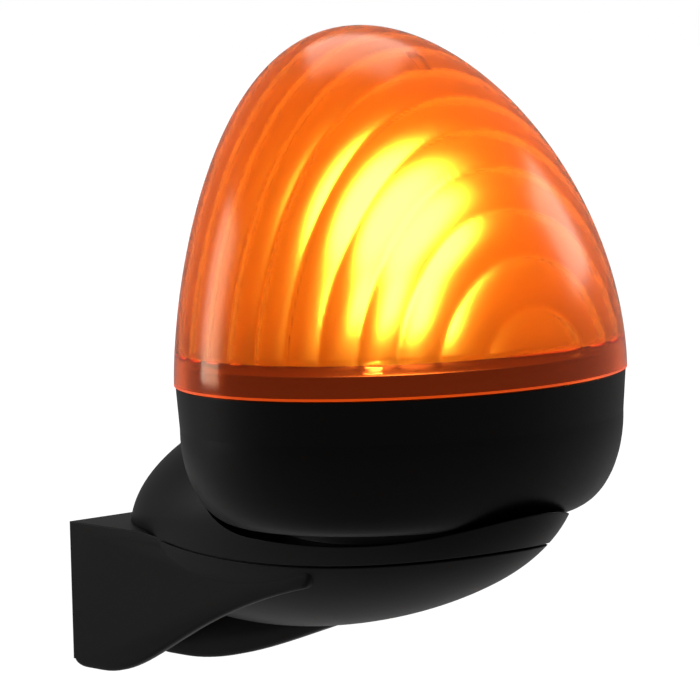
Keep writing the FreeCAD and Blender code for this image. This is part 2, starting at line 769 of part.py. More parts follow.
def fuse_tube():
    """Glass cartridge fuse, lying across the board in its clips."""
    start = Vector(FUSE_X, -FUSE_LENGTH / 2, BOARD_TOP + FUSE_LIFT)
    return Part.makeCylinder(FUSE_R, FUSE_LENGTH, start, Vector(0, 1, 0))


def fuse_clips():
    """Two sheet-metal cradles that stand on the board and hold the fuse."""
    middle = BOARD_TOP + FUSE_LIFT
    outer = FUSE_R + CLIP_SHEET
    clips = []
    for end in (-1, 1):
        y = end * (FUSE_LENGTH - CLIP_LENGTH) / 2
        size = (2 * outer, CLIP_LENGTH, FUSE_LIFT + FUSE_R / 2)
        bore = Part.makeCylinder(
            FUSE_R + SCREW_PLAY, CLIP_LENGTH, Vector(FUSE_X, y - CLIP_LENGTH / 2, middle), Vector(0, 1, 0)
        )
        mouth = block((1.6 * FUSE_R, CLIP_LENGTH, FUSE_R), FUSE_X, y, middle)
        clips.append(block(size, FUSE_X, y, BOARD_TOP).cut([bore, mouth]))
    return Part.makeCompound(clips)


def screw_group(size, length, places, seat):
    """Several like screws as separate solids."""
    return Part.makeCompound([screw(size, length, x, y, seat) for x, y in places])


def holder_leads():
    """Two stiff leads from the lamp holder down to the board."""
    half = LEAD_SPACING / 2
    return Part.makeCompound([rod(LEAD_R, BOARD_TOP, HOLDER_BOTTOM, 0, y) for y in (-half, half)])


LAMP_PIECES = {
    "lamp_base": lamp_base(),
    "lens_seal": seal_ring(SCREW_PLAY),
    "lens_dome": lens_dome(),
    "base_screws": screw_group(BASE_SCREW, BASE_SCREW_LENGTH, four(BASE_SCREW_AT), FLOOR_Z),
    "cable_grommet": cable_grommet(),
    "deck_plate": deck_plate(),
    "deck_screws": screw_group(DECK_SCREW, DECK_SCREW_LENGTH, deck_posts(), DECK_TOP),
    "lamp_holder": lamp_holder(),
    "holder_screws": screw_group(
        HOLDER_SCREW, FLANGE_HEIGHT + DECK_THICKNESS, flange_screws(), DECK_TOP + FLANGE_HEIGHT
    ),
    "holder_leads": holder_leads(),
    "socket_shell": socket_shell(),
    "socket_contact": socket_contact(),
    "bulb_glass": bulb_glass(),
    "bulb_cap": bulb_cap(),
    "bulb_insulator": bulb_insulator(),
    "bulb_contact": bulb_contact(),
    "bulb_stem": bulb_stem(),
    "bulb_filament": bulb_filament(),
    "flasher_board": flasher_board(),
    "board_screws": screw_group(BOARD_SCREW, BOARD_SCREW_LENGTH, board_posts(), BOARD_TOP),
    "terminal_block": terminal_block(),
    "terminal_screws": terminal_screws(),
    "capacitor": capacitor(),
    "triac": triac(),
    "heat_sink": heat_sink(),
    "resistor": resistor(),
    "fuse": fuse_tube(),
    "fuse_clips": fuse_clips(),
}

os.makedirs("parts", exist_ok=True)
PIECES = {name: at_lamp(shape) for name, shape in LAMP_PIECES.items()}
PIECES["wall_arm"] = wall_arm()
PIECES["saddle"] = saddle()
for name, shape in PIECES.items():
    shape.exportStep(f"parts/{name}.step")
    print(name, len(shape.Solids), round(shape.Volume, 1), shape.isValid())
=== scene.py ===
# %% [markdown]
# # A flashing warning light on a wall arm
#
# The real object is a gate or machine flasher: an orange oval dome over a lit bulb, a black cup under it,
# and a black arm with an egg-shaped pod that carries the cup off the wall.
#
# The solids come from the CAD model and stay where they are. This lesson gives them light and surfaces. It
# replaces the pieces that live by fine form: the fluted lens, the egg-shaped pod on its finned arm, and the
# bulb's screw cap.

# %% Load the solids
import math

import bmesh
import bpy
import numpy as np
from mathutils import Matrix, Vector


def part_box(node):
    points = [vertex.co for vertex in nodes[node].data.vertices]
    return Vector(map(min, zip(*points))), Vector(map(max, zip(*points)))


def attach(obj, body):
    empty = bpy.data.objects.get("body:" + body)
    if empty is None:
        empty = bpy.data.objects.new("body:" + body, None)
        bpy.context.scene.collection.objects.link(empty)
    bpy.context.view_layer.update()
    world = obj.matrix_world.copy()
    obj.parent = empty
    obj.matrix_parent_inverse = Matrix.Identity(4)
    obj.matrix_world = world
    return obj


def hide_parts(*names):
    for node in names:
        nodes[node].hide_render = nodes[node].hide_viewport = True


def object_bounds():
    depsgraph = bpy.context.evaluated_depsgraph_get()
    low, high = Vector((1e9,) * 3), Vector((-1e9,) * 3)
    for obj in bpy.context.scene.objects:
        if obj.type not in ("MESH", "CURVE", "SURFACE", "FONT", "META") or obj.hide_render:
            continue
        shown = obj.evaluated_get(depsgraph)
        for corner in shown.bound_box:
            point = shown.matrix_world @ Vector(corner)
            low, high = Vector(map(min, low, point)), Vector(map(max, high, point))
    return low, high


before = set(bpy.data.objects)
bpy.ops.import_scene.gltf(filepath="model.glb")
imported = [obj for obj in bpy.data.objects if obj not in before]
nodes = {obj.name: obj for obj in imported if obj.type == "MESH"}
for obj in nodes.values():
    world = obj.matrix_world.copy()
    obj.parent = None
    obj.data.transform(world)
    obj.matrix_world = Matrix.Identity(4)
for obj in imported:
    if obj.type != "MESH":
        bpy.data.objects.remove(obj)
cad_low, cad_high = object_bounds()
MM = 0.001
print("solids:", len(nodes), "overall mm:", [round(v / MM, 1) for v in cad_high - cad_low])

# %% [markdown]
# ## Where the lamp stands
#
# The lens, cup and bulb share one upright axis. The lens is widest at its foot, so the middle of its box is
# that axis, and the top of the seal is the joint between lens and cup.

# %% The lamp's axis and joint
lens_low, lens_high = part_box("lens_dome")
axis_x = (lens_low.x + lens_high.x) / 2
rim_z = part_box("lens_seal")[1].z
lamp = np.array([axis_x, 0.0, rim_z])
print("lamp axis x mm:", round(axis_x / MM, 2), "joint z mm:", round(rim_z / MM, 2))

# %% [markdown]
# ## Camera
#
# A product photograph is taken from far away with a long lens, so that the shape hardly tapers. The camera
# stands a little above the joint and 47 degrees round from the side, and it is turned a touch about its own
# line of sight. The place of the joint's middle in the picture fixes where it stands.

# %% Place the camera
IMAGE_SIDE = 700
AIM_PIXEL = (402.77, 374.86)    # where the middle of the joint falls in the picture
CAMERA_TURN = math.radians(47.54)
CAMERA_RISE = math.radians(6.14)
CAMERA_ROLL = math.radians(1.35)
CAMERA_DISTANCE = 1.2694
SENSOR = 36.0
FOCAL = 220.55
focal_px = FOCAL / SENSOR * IMAGE_SIDE

back = Vector((
    math.sin(CAMERA_TURN) * math.cos(CAMERA_RISE),
    -math.cos(CAMERA_TURN) * math.cos(CAMERA_RISE),
    math.sin(CAMERA_RISE),
))
level = Vector((math.cos(CAMERA_TURN), math.sin(CAMERA_TURN), 0.0))
upright = back.cross(level)
right = math.cos(CAMERA_ROLL) * level - math.sin(CAMERA_ROLL) * upright
above = math.sin(CAMERA_ROLL) * level + math.cos(CAMERA_ROLL) * upright
aside, lower = [(p - IMAGE_SIDE / 2) / focal_px for p in AIM_PIXEL]
stand = Vector(lamp) + CAMERA_DISTANCE * (back - aside * right + lower * above)

camera_data = bpy.data.cameras.new("camera")
camera_data.lens = FOCAL
camera_data.sensor_width = SENSOR
camera_data.clip_end = 100.0
camera = bpy.data.objects.new("camera", camera_data)
camera.matrix_world = Matrix((
    (right.x, above.x, back.x, stand.x),
    (right.y, above.y, back.y, stand.y),
    (right.z, above.z, back.z, stand.z),
    (0.0, 0.0, 0.0, 1.0),
))
scene = bpy.context.scene
scene.collection.objects.link(camera)
scene.camera = camera
scene.view_settings.view_transform = "Standard"
print("camera at mm:", [round(v / MM) for v in stand])

# %% [markdown]
# ## Colours and nodes
#
# Colours are written as sRGB hex codes, as a paint chart gives them, and one function turns them into the
# linear values that the renderer mixes. One more function adds a node, sets it and links it, so that each
# material below reads as a short list of nodes.

# %% Two helpers for materials
def linear(code):
    """Linear RGBA of an sRGB hex code: c/12.92 below 0.04045, else ((c + 0.055)/1.055)^2.4."""
    srgb = np.array([int(code[k:k + 2], 16) for k in (1, 3, 5)]) / 255
    rgb = np.where(srgb <= 0.04045, srgb / 12.92, ((srgb + 0.055) / 1.055) ** 2.4)
    return (*rgb.tolist(), 1.0)


def add(tree, kind, inputs=None, **settings):
    """Adds one node. An input's value is a constant, or the socket of another node to link from."""
    made = tree.nodes.new(kind)
    for name, value in settings.items():
        setattr(made, name, value)
    for name, value in (inputs or {}).items():
        if isinstance(value, bpy.types.NodeSocket):
            tree.links.new(value, made.inputs[name])
        else:
            made.inputs[name].default_value = value
    return made


def new_material(name):
    """An empty node material and its output node."""
    material = bpy.data.materials.new(name)
    material.use_nodes = True
    tree = material.node_tree
    tree.nodes.clear()
    return material, tree, add(tree, "ShaderNodeOutputMaterial")


def finish_material(tree, output, shader):
    """Links the last shader to the output."""
    tree.links.new(shader.outputs[0], output.inputs["Surface"])


print("dark grey #202020 in linear light:", round(linear("#202020")[0], 4))

# %% [markdown]
# ## Studio
#
# The picture is a cut-out on white: no wall and no horizon. The white is what the camera sees, directly, in
# a mirror or through glass; dull surfaces are lit by a darker room and by soft boxes. Two of these stand
# left and right of the lamp, and one hangs over it. A pale floor throws soft light up to the belly of the
# pod.

# %% World: white behind, grey room
MIRRORED = 0.15     # a mirror also shows the room in front, so it gets less of the white


def background_ray(tree):
    """1 for a ray that shows the background: straight from the camera, mirrored, or through glass."""
    ray = add(tree, "ShaderNodeLightPath")
    direct = add(tree, "ShaderNodeMath", {
        0: ray.outputs["Is Camera Ray"], 1: ray.outputs["Is Transmission Ray"],
    }, operation="MAXIMUM")
    mirrored = add(tree, "ShaderNodeMath", {
        0: ray.outputs["Is Glossy Ray"], 1: MIRRORED,
    }, operation="MULTIPLY")
    return add(tree, "ShaderNodeMath", {0: direct.outputs[0], 1: mirrored.outputs[0]}, operation="MAXIMUM")


WHITE = linear("#FFFFFF")
ROOM = linear("#5A5A5A")
world = bpy.data.worlds.new("studio")
scene.world = world
world.use_nodes = True
tree = world.node_tree
tree.nodes.clear()
seen = background_ray(tree)
room = add(tree, "ShaderNodeBackground", {"Color": ROOM, "Strength": 1.0})
paper = add(tree, "ShaderNodeBackground", {"Color": WHITE, "Strength": 1.0})
mixed = add(tree, "ShaderNodeMixShader", {0: seen.outputs[0], 1: room.outputs[0], 2: paper.outputs[0]})
output = add(tree, "ShaderNodeOutputWorld", {"Surface": mixed.outputs[0]})
print("world shaders:", len(tree.nodes))

# %% Floor
FLOOR_DROP = 0.12
FLOOR_HALF = 6.0
PAPER_NEAR = (0.3, 0.85)    # metres from the lamp, and how much of the white the paper shows there
PAPER_FAR = (1.2, 1.0)
PAPER_GLOW = 1.1
floor_mesh = bpy.data.meshes.new("floor")
floor_z = cad_low.z - FLOOR_DROP
corners = [(sx * FLOOR_HALF, sy * FLOOR_HALF, floor_z) for sx, sy in ((-1, -1), (1, -1), (1, 1), (-1, 1))]
floor_mesh.from_pydata(corners, [], [(0, 1, 2, 3)])
floor = bpy.data.objects.new("floor", floor_mesh)
scene.collection.objects.link(floor)

paper_floor, tree, output = new_material("white paper floor")
seen = background_ray(tree)
place = add(tree, "ShaderNodeTexCoord")
away = add(tree, "ShaderNodeVectorMath", {0: place.outputs["Object"]}, operation="LENGTH")
paper_share = add(tree, "ShaderNodeMapRange", {
    "Value": away.outputs["Value"], "From Min": PAPER_NEAR[0], "From Max": PAPER_FAR[0],
    "To Min": PAPER_NEAR[1], "To Max": PAPER_FAR[1],
})
lit = add(tree, "ShaderNodeBsdfDiffuse", {"Color": linear("#F2F2F2")})
glow = add(tree, "ShaderNodeEmission", {"Color": WHITE, "Strength": PAPER_GLOW})
share = add(tree, "ShaderNodeMath", {0: seen.outputs[0], 1: paper_share.outputs[0]}, operation="MULTIPLY")
mixed = add(tree, "ShaderNodeMixShader", {0: share.outputs[0], 1: lit.outputs[0], 2: glow.outputs[0]})
finish_material(tree, output, mixed)
floor_mesh.materials.append(paper_floor)
print("floor z mm:", round(floor_z / MM, 1))

# %% Soft boxes
def soft_box(name, turn, rise, distance, width, height, power):
    """Rectangular lamp that faces the object, placed by angles round from the side and above the level."""
    a, e = math.radians(turn), math.radians(rise)
    away = Vector((math.sin(a) * math.cos(e), -math.cos(a) * math.cos(e), math.sin(e)))
    data = bpy.data.lights.new(name, "AREA")
    data.shape = "RECTANGLE"
    data.size = width
    data.size_y = height
    data.energy = power
    made = bpy.data.objects.new(name, data)
    made.location = (cad_low + cad_high) / 2 + distance * away
    made.rotation_euler = away.to_track_quat("Z", "Y").to_euler()
    scene.collection.objects.link(made)
    return made


soft_box("left soft box", turn=-52, rise=12, distance=0.9, width=0.3, height=0.5, power=2.2)
soft_box("right soft box", turn=165, rise=20, distance=0.9, width=0.3, height=0.3, power=1.1)
soft_box("top soft box", turn=225, rise=60, distance=1.0, width=0.6, height=0.6, power=3.0)

# %% [markdown]
# ## Black mouldings
#
# Arm, saddle and cup are injection-moulded ABS, coloured through. The mould was spark-eroded, which leaves
# a fine even grain: the eye gets no sharp reflection, only a soft grey sheen that grows towards the edges.
# The grain is 0.1 mm on the real thing; it is drawn at 0.6 mm so that it shows at all at this picture size.

# %% Moulded ABS
EDGE_ROUND = 0.6 * MM
GRAIN_HEIGHT = 0.1 * MM
GLOSS_PATCH = 40 * MM           # size of the patches that came out of the mould a little duller or glossier
GLOSS_SPREAD = (-0.04, 0.05)


def moulded(name, colour, rough, grain_mm, depth, sheen=0.5):
    """Coloured plastic with eroded grain: fine noise for the bump, broad noise for the gloss."""
    material, tree, output = new_material(name)
    place = add(tree, "ShaderNodeTexCoord")
    grain = add(tree, "ShaderNodeTexNoise", {
        "Vector": place.outputs["Object"], "Scale": 1.0 / (grain_mm * MM), "Detail": 3.0,
    })
    edge = add(tree, "ShaderNodeBevel", {"Radius": EDGE_ROUND}, samples=6)
    bump = add(tree, "ShaderNodeBump", {
        "Height": grain.outputs["Fac"], "Strength": depth, "Distance": GRAIN_HEIGHT,
        "Normal": edge.outputs[0],
    })
    broad = add(tree, "ShaderNodeTexNoise", {
        "Vector": place.outputs["Object"], "Scale": 1.0 / GLOSS_PATCH, "Detail": 2.0,
    })
    gloss = add(tree, "ShaderNodeMapRange", {
        "Value": broad.outputs["Fac"], "To Min": rough + GLOSS_SPREAD[0], "To Max": rough + GLOSS_SPREAD[1],
    })
    shader = add(tree, "ShaderNodeBsdfPrincipled", {
        "Base Color": linear(colour), "Roughness": gloss.outputs[0], "Normal": bump.outputs[0],
        "Specular IOR Level": sheen,
    })
    finish_material(tree, output, shader)
    return material


def dress(material, *names):
    """Gives CAD nodes one material."""
    for name in names:
        nodes[name].data.materials.clear()
        nodes[name].data.materials.append(material)
    print(material.name, "on", len(names), "nodes")


black_abs = moulded("black eroded ABS", "#050404", rough=0.42, grain_mm=0.6, depth=0.25, sheen=0.12)
dress(black_abs, "lamp_base", "deck_plate")

# %% [markdown]
# ## Surfaces from numpy
#
# Every new piece starts as a grid of points: a function of two parameters, worked out as whole arrays. All
# of them go round an axis, so the last column of a grid is joined to its first.

# %% A grid of points becomes a mesh
MERGE = 0.001 * MM


def grid_faces(rows, columns):
    """Quads of a grid of rows by columns that closes round its axis."""
    index = np.arange(rows * columns).reshape(rows, columns)
    beside = np.roll(index, -1, axis=1)
    return np.stack([index[:-1], beside[:-1], beside[1:], index[1:]], axis=-1).reshape(-1, 4)


def mesh_piece(name, points, faces, body, materials, face_slots=None):
    """A smooth mesh in the row frame that rides on a CAD body. Points that meet at a pole are merged."""
    mesh = bpy.data.meshes.new(name)
    mesh.from_pydata(points.tolist(), [], faces)
    for material in materials:
        mesh.materials.append(material)
    if face_slots is not None:
        mesh.polygons.foreach_set("material_index", face_slots)
    shape = bmesh.new()
    shape.from_mesh(mesh)
    bmesh.ops.remove_doubles(shape, verts=shape.verts, dist=MERGE)
    shape.to_mesh(mesh)
    shape.free()
    mesh.polygons.foreach_set("use_smooth", np.full(len(mesh.polygons), True))
    made = bpy.data.objects.new(name, mesh)
    scene.collection.objects.link(made)
    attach(made, body)
    print(name, "points:", len(mesh.vertices), "faces:", len(mesh.polygons))
    return made


# %% [markdown]
# ## Tools for the moulded arm
#
# The pod under the cup is an egg that lies along the arm, cut by curved parting and seating surfaces. Such
# a moulding is made most easily as a toolmaker would: simple closed bodies, worked out with numpy, are
# joined, cut and trimmed with Boolean modifiers. The helpers below give outlines, bodies and cuts, in
# millimetres.

# %% Curves for outlines
def bezier(*poles, count=28):
    """Bezier curve: the sum over poles of comb(n, k) * t^k * (1 - t)^(n - k) * pole."""
    t = np.linspace(0, 1, count)[:, None]
    n = len(poles) - 1
    return sum(math.comb(n, k) * t ** k * (1 - t) ** (n - k) * np.array(p) for k, p in enumerate(poles))


def quarter(start, corner, end, count=14):
    """Quarter ellipse that touches both sides of a corner:
    corner + (start - corner) * (1 - sin a) + (end - corner) * (1 - cos a), for a from 0 to 90 degrees."""
    a = np.linspace(0, np.pi / 2, count)[:, None]
    start, corner, end = np.array(start), np.array(corner), np.array(end)
    return corner + (start - corner) * (1 - np.sin(a)) + (end - corner) * (1 - np.cos(a))


# %% Closed bodies
FAR = 300.0


def closed_body(points, faces):
    """A helper object from points in millimetres, its doubles merged and its faces turned outwards."""
    mesh = bpy.data.meshes.new("body")
    mesh.from_pydata((points * MM).tolist(), [], faces)
    shape = bmesh.new()
    shape.from_mesh(mesh)
    bmesh.ops.remove_doubles(shape, verts=shape.verts, dist=MERGE)
    bmesh.ops.recalc_face_normals(shape, faces=shape.faces)
    shape.to_mesh(mesh)
    shape.free()
    made = bpy.data.objects.new("body", mesh)
    scene.collection.objects.link(made)
    return made


def prism(outline, y0, y1):
    """Outline (x, z) carried along Y between two places, with flat ends."""
    count = len(outline)
    ends = [np.column_stack([outline[:, 0], np.full(count, y), outline[:, 1]]) for y in (y0, y1)]
    index = np.arange(count)
    beside = np.roll(index, -1)
    sides = np.stack([index, beside, beside + count, index + count], axis=-1)
    return closed_body(np.concatenate(ends), sides.tolist() + [index.tolist(), (index + count).tolist()])


def box(low, high):
    """Box between two corners."""
    (x0, y0, z0), (x1, y1, z1) = low, high
    return prism(np.array([(x0, z0), (x1, z0), (x1, z1), (x0, z1)]), y0, y1)


def turned(profile, columns=96):
    """Points and faces of a profile (r, z) turned about Z: (r cos a, r sin a, z)."""
    around = np.linspace(0, 2 * np.pi, columns, endpoint=False)
    r, z = profile[:, :1], profile[:, 1:]
    points = np.stack([r * np.cos(around), r * np.sin(around), z + 0 * around], axis=-1).reshape(-1, 3)
    return points, grid_faces(len(profile), columns).tolist()


def bar_along_x(radius, x0, x1, y, z):
    """Round bar between two distances from the wall."""
    points, faces = turned(np.array([(0, x0), (radius, x0), (radius, x1), (0, x1)]), 48)
    return closed_body(points[:, [2, 1, 0]] + np.array([0, y, z]), faces)


# %% Joining and cutting
ROUNDED_ANGLE = math.radians(40)
SHARP_ANGLE = math.radians(32)


def combine(target, how, *others):
    """UNION joins bodies to the target, DIFFERENCE cuts them out and INTERSECT keeps what they share."""
    for other in others:
        step = target.modifiers.new("step", "BOOLEAN")
        step.operation = how
        step.solver = "EXACT"
        step.object = other
    bpy.context.view_layer.update()
    made = target.evaluated_get(bpy.context.evaluated_depsgraph_get())
    target.data = bpy.data.meshes.new_from_object(made)
    target.modifiers.clear()
    for other in others:
        bpy.data.objects.remove(other)
    return target


def round_edges(target, width, segments=3):
    """Rounds the sharp edges of a body."""
    bevel = target.modifiers.new("round", "BEVEL")
    bevel.width = width * MM
    bevel.segments = segments
    bevel.limit_method = "ANGLE"
    bevel.angle_limit = ROUNDED_ANGLE
    return combine(target, "UNION")


def finish_moulding(made, name, body, material, node):
    """Names a body, gives it material and shading, and lets it stand for its CAD node."""
    made.name = name
    mesh = made.data
    mesh.materials.clear()
    mesh.materials.append(material)
    mesh.polygons.foreach_set("use_smooth", np.full(len(mesh.polygons), True))
    mesh.set_sharp_from_angle(angle=SHARP_ANGLE)
    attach(made, body)
    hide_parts(node)
    print(name, "faces:", len(mesh.polygons))


# %% [markdown]
# ## The egg and its parting surface
#
# The egg is a ball stretched to three half axes and tilted with its front up. In side view the parting line
# leaves the arm's roof level behind the cup, dips a little and climbs to the nose. The saddle's rim starts
# at the backrest, falls in a quarter turn to its lowest place and rises to the nose under the cup's front.

# %% Egg, parting line and rim
PLATE_HALF = 36.1
ROOF_Z = -cad_low.z / MM
LAMP_X, RIM_Z = axis_x / MM, rim_z / MM
POD_HALF = (92.5, 43.0, 37.0)
POD_CENTRE = np.array([90.8, 0.0, ROOF_Z + 10.6])
POD_TILT = math.radians(11.5)
SEAM_START, SEAM_LOW, SEAM_DIP = 34.0, 88.0, 3.3
SEAM_GROOVE = (1.0, 0.7)        # depth and height of the shadow groove under the parting line
SEAT_BACK = (66.0, ROOF_Z + 23.2)
SEAT_LOW = (95.0, ROOF_Z + 4.2)
SEAT_BEND = (155.4, ROOF_Z + 1.2)
SEAT_FRONT = (184.2, ROOF_Z + 20.9)
SEAT_CORE = (51.0, 33.0)        # half axes of the block that carries the cup
CUP_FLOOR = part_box("lamp_base")[0].z / MM - 0.3
CUP_FLOOR_R = 44.4              # where the cup's floor turns up into its corner
CUP_CHEEK = 13.2                # from the joint down to the end of the upright wall
CUP_ROOM = 1.0
NOSE_START = 143.0
NOSE_X = cad_high.x / MM - 0.1
WALL_GAP = 0.5


def egg_body(inset=0.0):
    """The ball (sin u cos v, sin u sin v, -cos u), stretched, tilted about Y and moved to the pod's centre.
    Its nose is drawn back by a square law, so that it ends under the cup's front and stays round."""
    u = np.linspace(0, np.pi, 121)
    ball, faces = turned(np.stack([np.sin(u), -np.cos(u)], axis=-1), 160)
    x, y, z = (ball[:, [2, 1, 0]] * (np.array(POD_HALF) - inset)).T
    cos, sin = math.cos(POD_TILT), math.sin(POD_TILT)
    points = np.stack([x * cos - z * sin, y, x * sin + z * cos], axis=-1) + POD_CENTRE
    ahead = np.clip(points[:, 0] - NOSE_START, 0, None)
    points[:, 0] -= (points[:, 0].max() - NOSE_X + inset) * (ahead / ahead.max()) ** 2
    return closed_body(points, faces)


def seam_line():
    """Parting line: level to its start, then the parabola dip * (((x - low) / (start - low))^2 - 1)."""
    x = np.linspace(SEAM_START, FAR, 120)
    z = ROOF_Z + SEAM_DIP * (((x - SEAM_LOW) / (SEAM_START - SEAM_LOW)) ** 2 - 1)
    return np.column_stack([np.append(-FAR, x), np.append(ROOF_Z, z)])


def seam_side(limit, shift=0.0):
    """Everything between the parting line, moved by shift, and a height far above or below it."""
    outline = np.concatenate([seam_line() + (0, shift), [(FAR, limit), (-FAR, limit)]])
    return prism(outline, -FAR, FAR)


def seat_cutter():
    """Space over the saddle's rim, less the oval block that carries the cup."""
    fall = quarter(SEAT_BACK, (SEAT_BACK[0], SEAT_LOW[1]), SEAT_LOW)
    climb = bezier(SEAT_LOW, SEAT_BEND, SEAT_FRONT)
    top = [(SEAT_FRONT[0], FAR), (SEAT_BACK[0], FAR)]
    space = prism(np.concatenate([fall, climb[1:], top]), -FAR, FAR)
    points, faces = turned(np.array([(0, 0), (1, 0), (1, CUP_FLOOR), (0, CUP_FLOOR)]))
    core = closed_body(points * (*SEAT_CORE, 1.0) + (LAMP_X, 0, 0), faces)
    return combine(space, "DIFFERENCE", core)


def cup_room():
    """Room for the cup: its profile, a little larger, turned about the lamp axis and made oval."""
    low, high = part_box("lamp_base")
    half_x, half_y = [(high[k] - low[k]) / 2 / MM + CUP_ROOM for k in (0, 1)]
    corner = quarter((CUP_FLOOR_R, CUP_FLOOR), (half_x, CUP_FLOOR), (half_x, RIM_Z - CUP_CHEEK))
    profile = np.concatenate([[(0, CUP_FLOOR)], corner, [(half_x, FAR), (0, FAR)]])
    points, faces = turned(profile)
    return closed_body(points * (1.0, half_y / half_x, 1.0) + (LAMP_X, 0, 0), faces)


print("roof z mm:", round(ROOF_Z, 1), "cup floor z mm:", round(CUP_FLOOR, 1))
print("nose x mm:", round(NOSE_X, 1))

# %% The saddle
off_wall = box((WALL_GAP, -FAR, -FAR), (FAR, FAR, FAR))
saddle = combine(egg_body(), "INTERSECT", seam_side(FAR), off_wall)
saddle = combine(saddle, "DIFFERENCE", seat_cutter(), cup_room())
finish_moulding(saddle, "saddle_shell", "bracket", black_abs, "saddle")

# %% [markdown]
# ## The arm
#
# The lower moulding hangs on the wall. Its plate, roof and ribs are a few millimetres thick; the lower
# edges of fins and keel are S-curves with rounded edges, which catch the light. Two screw holes and the
# cable's pipe go through the plate, where the ribs hide them from the front.

# %% Plate, ribs and pipe
FOOT_Z = cad_low.z / MM
LOBE_FLAT = 13.0
FOOT_CORNER = (6.0, 2.4)
RIB_TIP_ROUND = (4.0, 5.5)
RIB_EDGE = 1.4
PLATE_THICKNESS = 4.0
ROOF_THICKNESS = 3.0
FIN_THICKNESS = 4.0
FIN = dict(tip=(107.0, -10.3), pull=(24.0, 55.0), slope=0.24)
KEEL_HALF = 2.5
KEEL = dict(tip=(92.0, -25.5), pull=(26.0, 25.0), slope=0.3)
NECK_X = 40.0
NECK_OVERLAP = 3.0
PIPE_Z = ROOF_Z - 9.7
PIPE_R = 8.1
CABLE_R = 5.5
BOLT_Z = FOOT_Z + 10.5
BOLT_Y = 18.0
BOLT_R = 2.6


def rib(y0, y1, tip, pull, slope):
    """Upright rib between two places along Y: level lobe at the wall, S-curve to its tip, rounded end."""
    tip_x, tip_z = tip[0], ROOF_Z + tip[1]
    end = (tip_x + RIB_TIP_ROUND[0], tip_z + RIB_TIP_ROUND[1])
    leave = (LOBE_FLAT + pull[0], FOOT_Z)
    arrive = (tip_x - pull[1], tip_z - slope * pull[1])
    outline = np.concatenate([
        [(0, ROOF_Z)],
        quarter((0, FOOT_Z + FOOT_CORNER[1]), (0, FOOT_Z), (FOOT_CORNER[0], FOOT_Z)),
        bezier((LOBE_FLAT, FOOT_Z), leave, arrive, (tip_x, tip_z)),
        quarter((tip_x, tip_z), (end[0], tip_z + slope * RIB_TIP_ROUND[0]), end)[1:],
        [(end[0], ROOF_Z)],
    ])
    return round_edges(prism(outline, y0, y1), RIB_EDGE)


def wall_arm_body():
    """Bowl, plate, roof, ribs and pipe in one piece, with its holes."""
    skin, height = SEAM_GROOVE
    front = [box((NECK_X, -FAR, -FAR), (FAR, FAR, FAR)) for _ in range(2)]
    bowl = combine(egg_body(), "INTERSECT", seam_side(-FAR, -height), front[0])
    inner = combine(egg_body(skin), "INTERSECT", seam_side(-FAR), front[1])
    ribs = [
        rib(-PLATE_HALF, FIN_THICKNESS - PLATE_HALF, **FIN),
        rib(PLATE_HALF - FIN_THICKNESS, PLATE_HALF, **FIN),
        rib(-KEEL_HALF, KEEL_HALF, **KEEL),
    ]
    plate = box((0, -PLATE_HALF, FOOT_Z + FOOT_CORNER[1]), (PLATE_THICKNESS, PLATE_HALF, ROOF_Z))
    roof = box((0, -PLATE_HALF, ROOF_Z - ROOF_THICKNESS), (NECK_X + NECK_OVERLAP, PLATE_HALF, ROOF_Z))
    pipe = bar_along_x(PIPE_R, 0.0, NECK_X + NECK_OVERLAP, 0.0, PIPE_Z)
    solid = combine(bowl, "UNION", inner, plate, roof, pipe, *ribs)
    solid = combine(solid, "INTERSECT", seam_side(-FAR))
    cable = bar_along_x(CABLE_R, -1.0, NECK_X, 0.0, PIPE_Z)
    bolts = [bar_along_x(BOLT_R, -1.0, PLATE_THICKNESS + 1.0, y, BOLT_Z) for y in (-BOLT_Y, BOLT_Y)]
    return combine(solid, "DIFFERENCE", cable, *bolts)


finish_moulding(wall_arm_body(), "wall_arm_moulding", "bracket", black_abs, "wall_arm")

# %% [markdown]
# ## The lens
#
# The lens is moulded from clear orange plastic. Outside it is polished, inside it has hoop-shaped flutes
# that run over the dome from one side to the other, like the ribs of a covered wagon. Each flute bends the
# bulb's light into a streak. The shape is an egg whose crown leans back to the wall. One function gives
# outside and inside, and the flutes are a wave in the wall's thickness.

# %% The egg and its flutes
LENS_WALL = 2.6 * MM
LENS_FULLNESS = 1.79
LENS_LEAN = 16.7 * MM
LENS_LEAN_POWER = 2.08
FLUTE_FIRST = 20.0
FLUTE_STEP = 9.0
FLUTE_DEPTH = 1.7 * MM
FLUTE_BULGE = 0.8               # 1 is a plain cosine, less is rounder
FLUTE_FOOT = 9.4 * MM
FLUTE_FADE = 0.8 * MM
FOOT_EDGE = 0.7 * MM
GATE_X = 9.0 * MM
GATE_SIZE = (6.0 * MM, 4.0 * MM)
GATE_RISE = 2.5 * MM
GATE_EDGE = 0.6 * MM
half_depth = (lens_high.x - lens_low.x) / 2
half_width = (lens_high.y - lens_low.y) / 2
lens_height = lens_high.z - lens_low.z


def egg(turn, around, inset):
    """Point of the egg: at turn t the oval is cos t in size, at height sin(t)^(2/fullness), and its centre
    has gone back by lean times height^power. Inset shrinks half axes and height alike."""
    rise = np.sin(turn) ** (2.0 / LENS_FULLNESS)
    size = np.cos(turn)
    x = -LENS_LEAN * rise ** LENS_LEAN_POWER + (half_depth - inset) * size * np.cos(around)
    y = (half_width - inset) * size * np.sin(around)
    z = (lens_height - inset) * rise
    return np.stack([x, y, z], axis=-1)


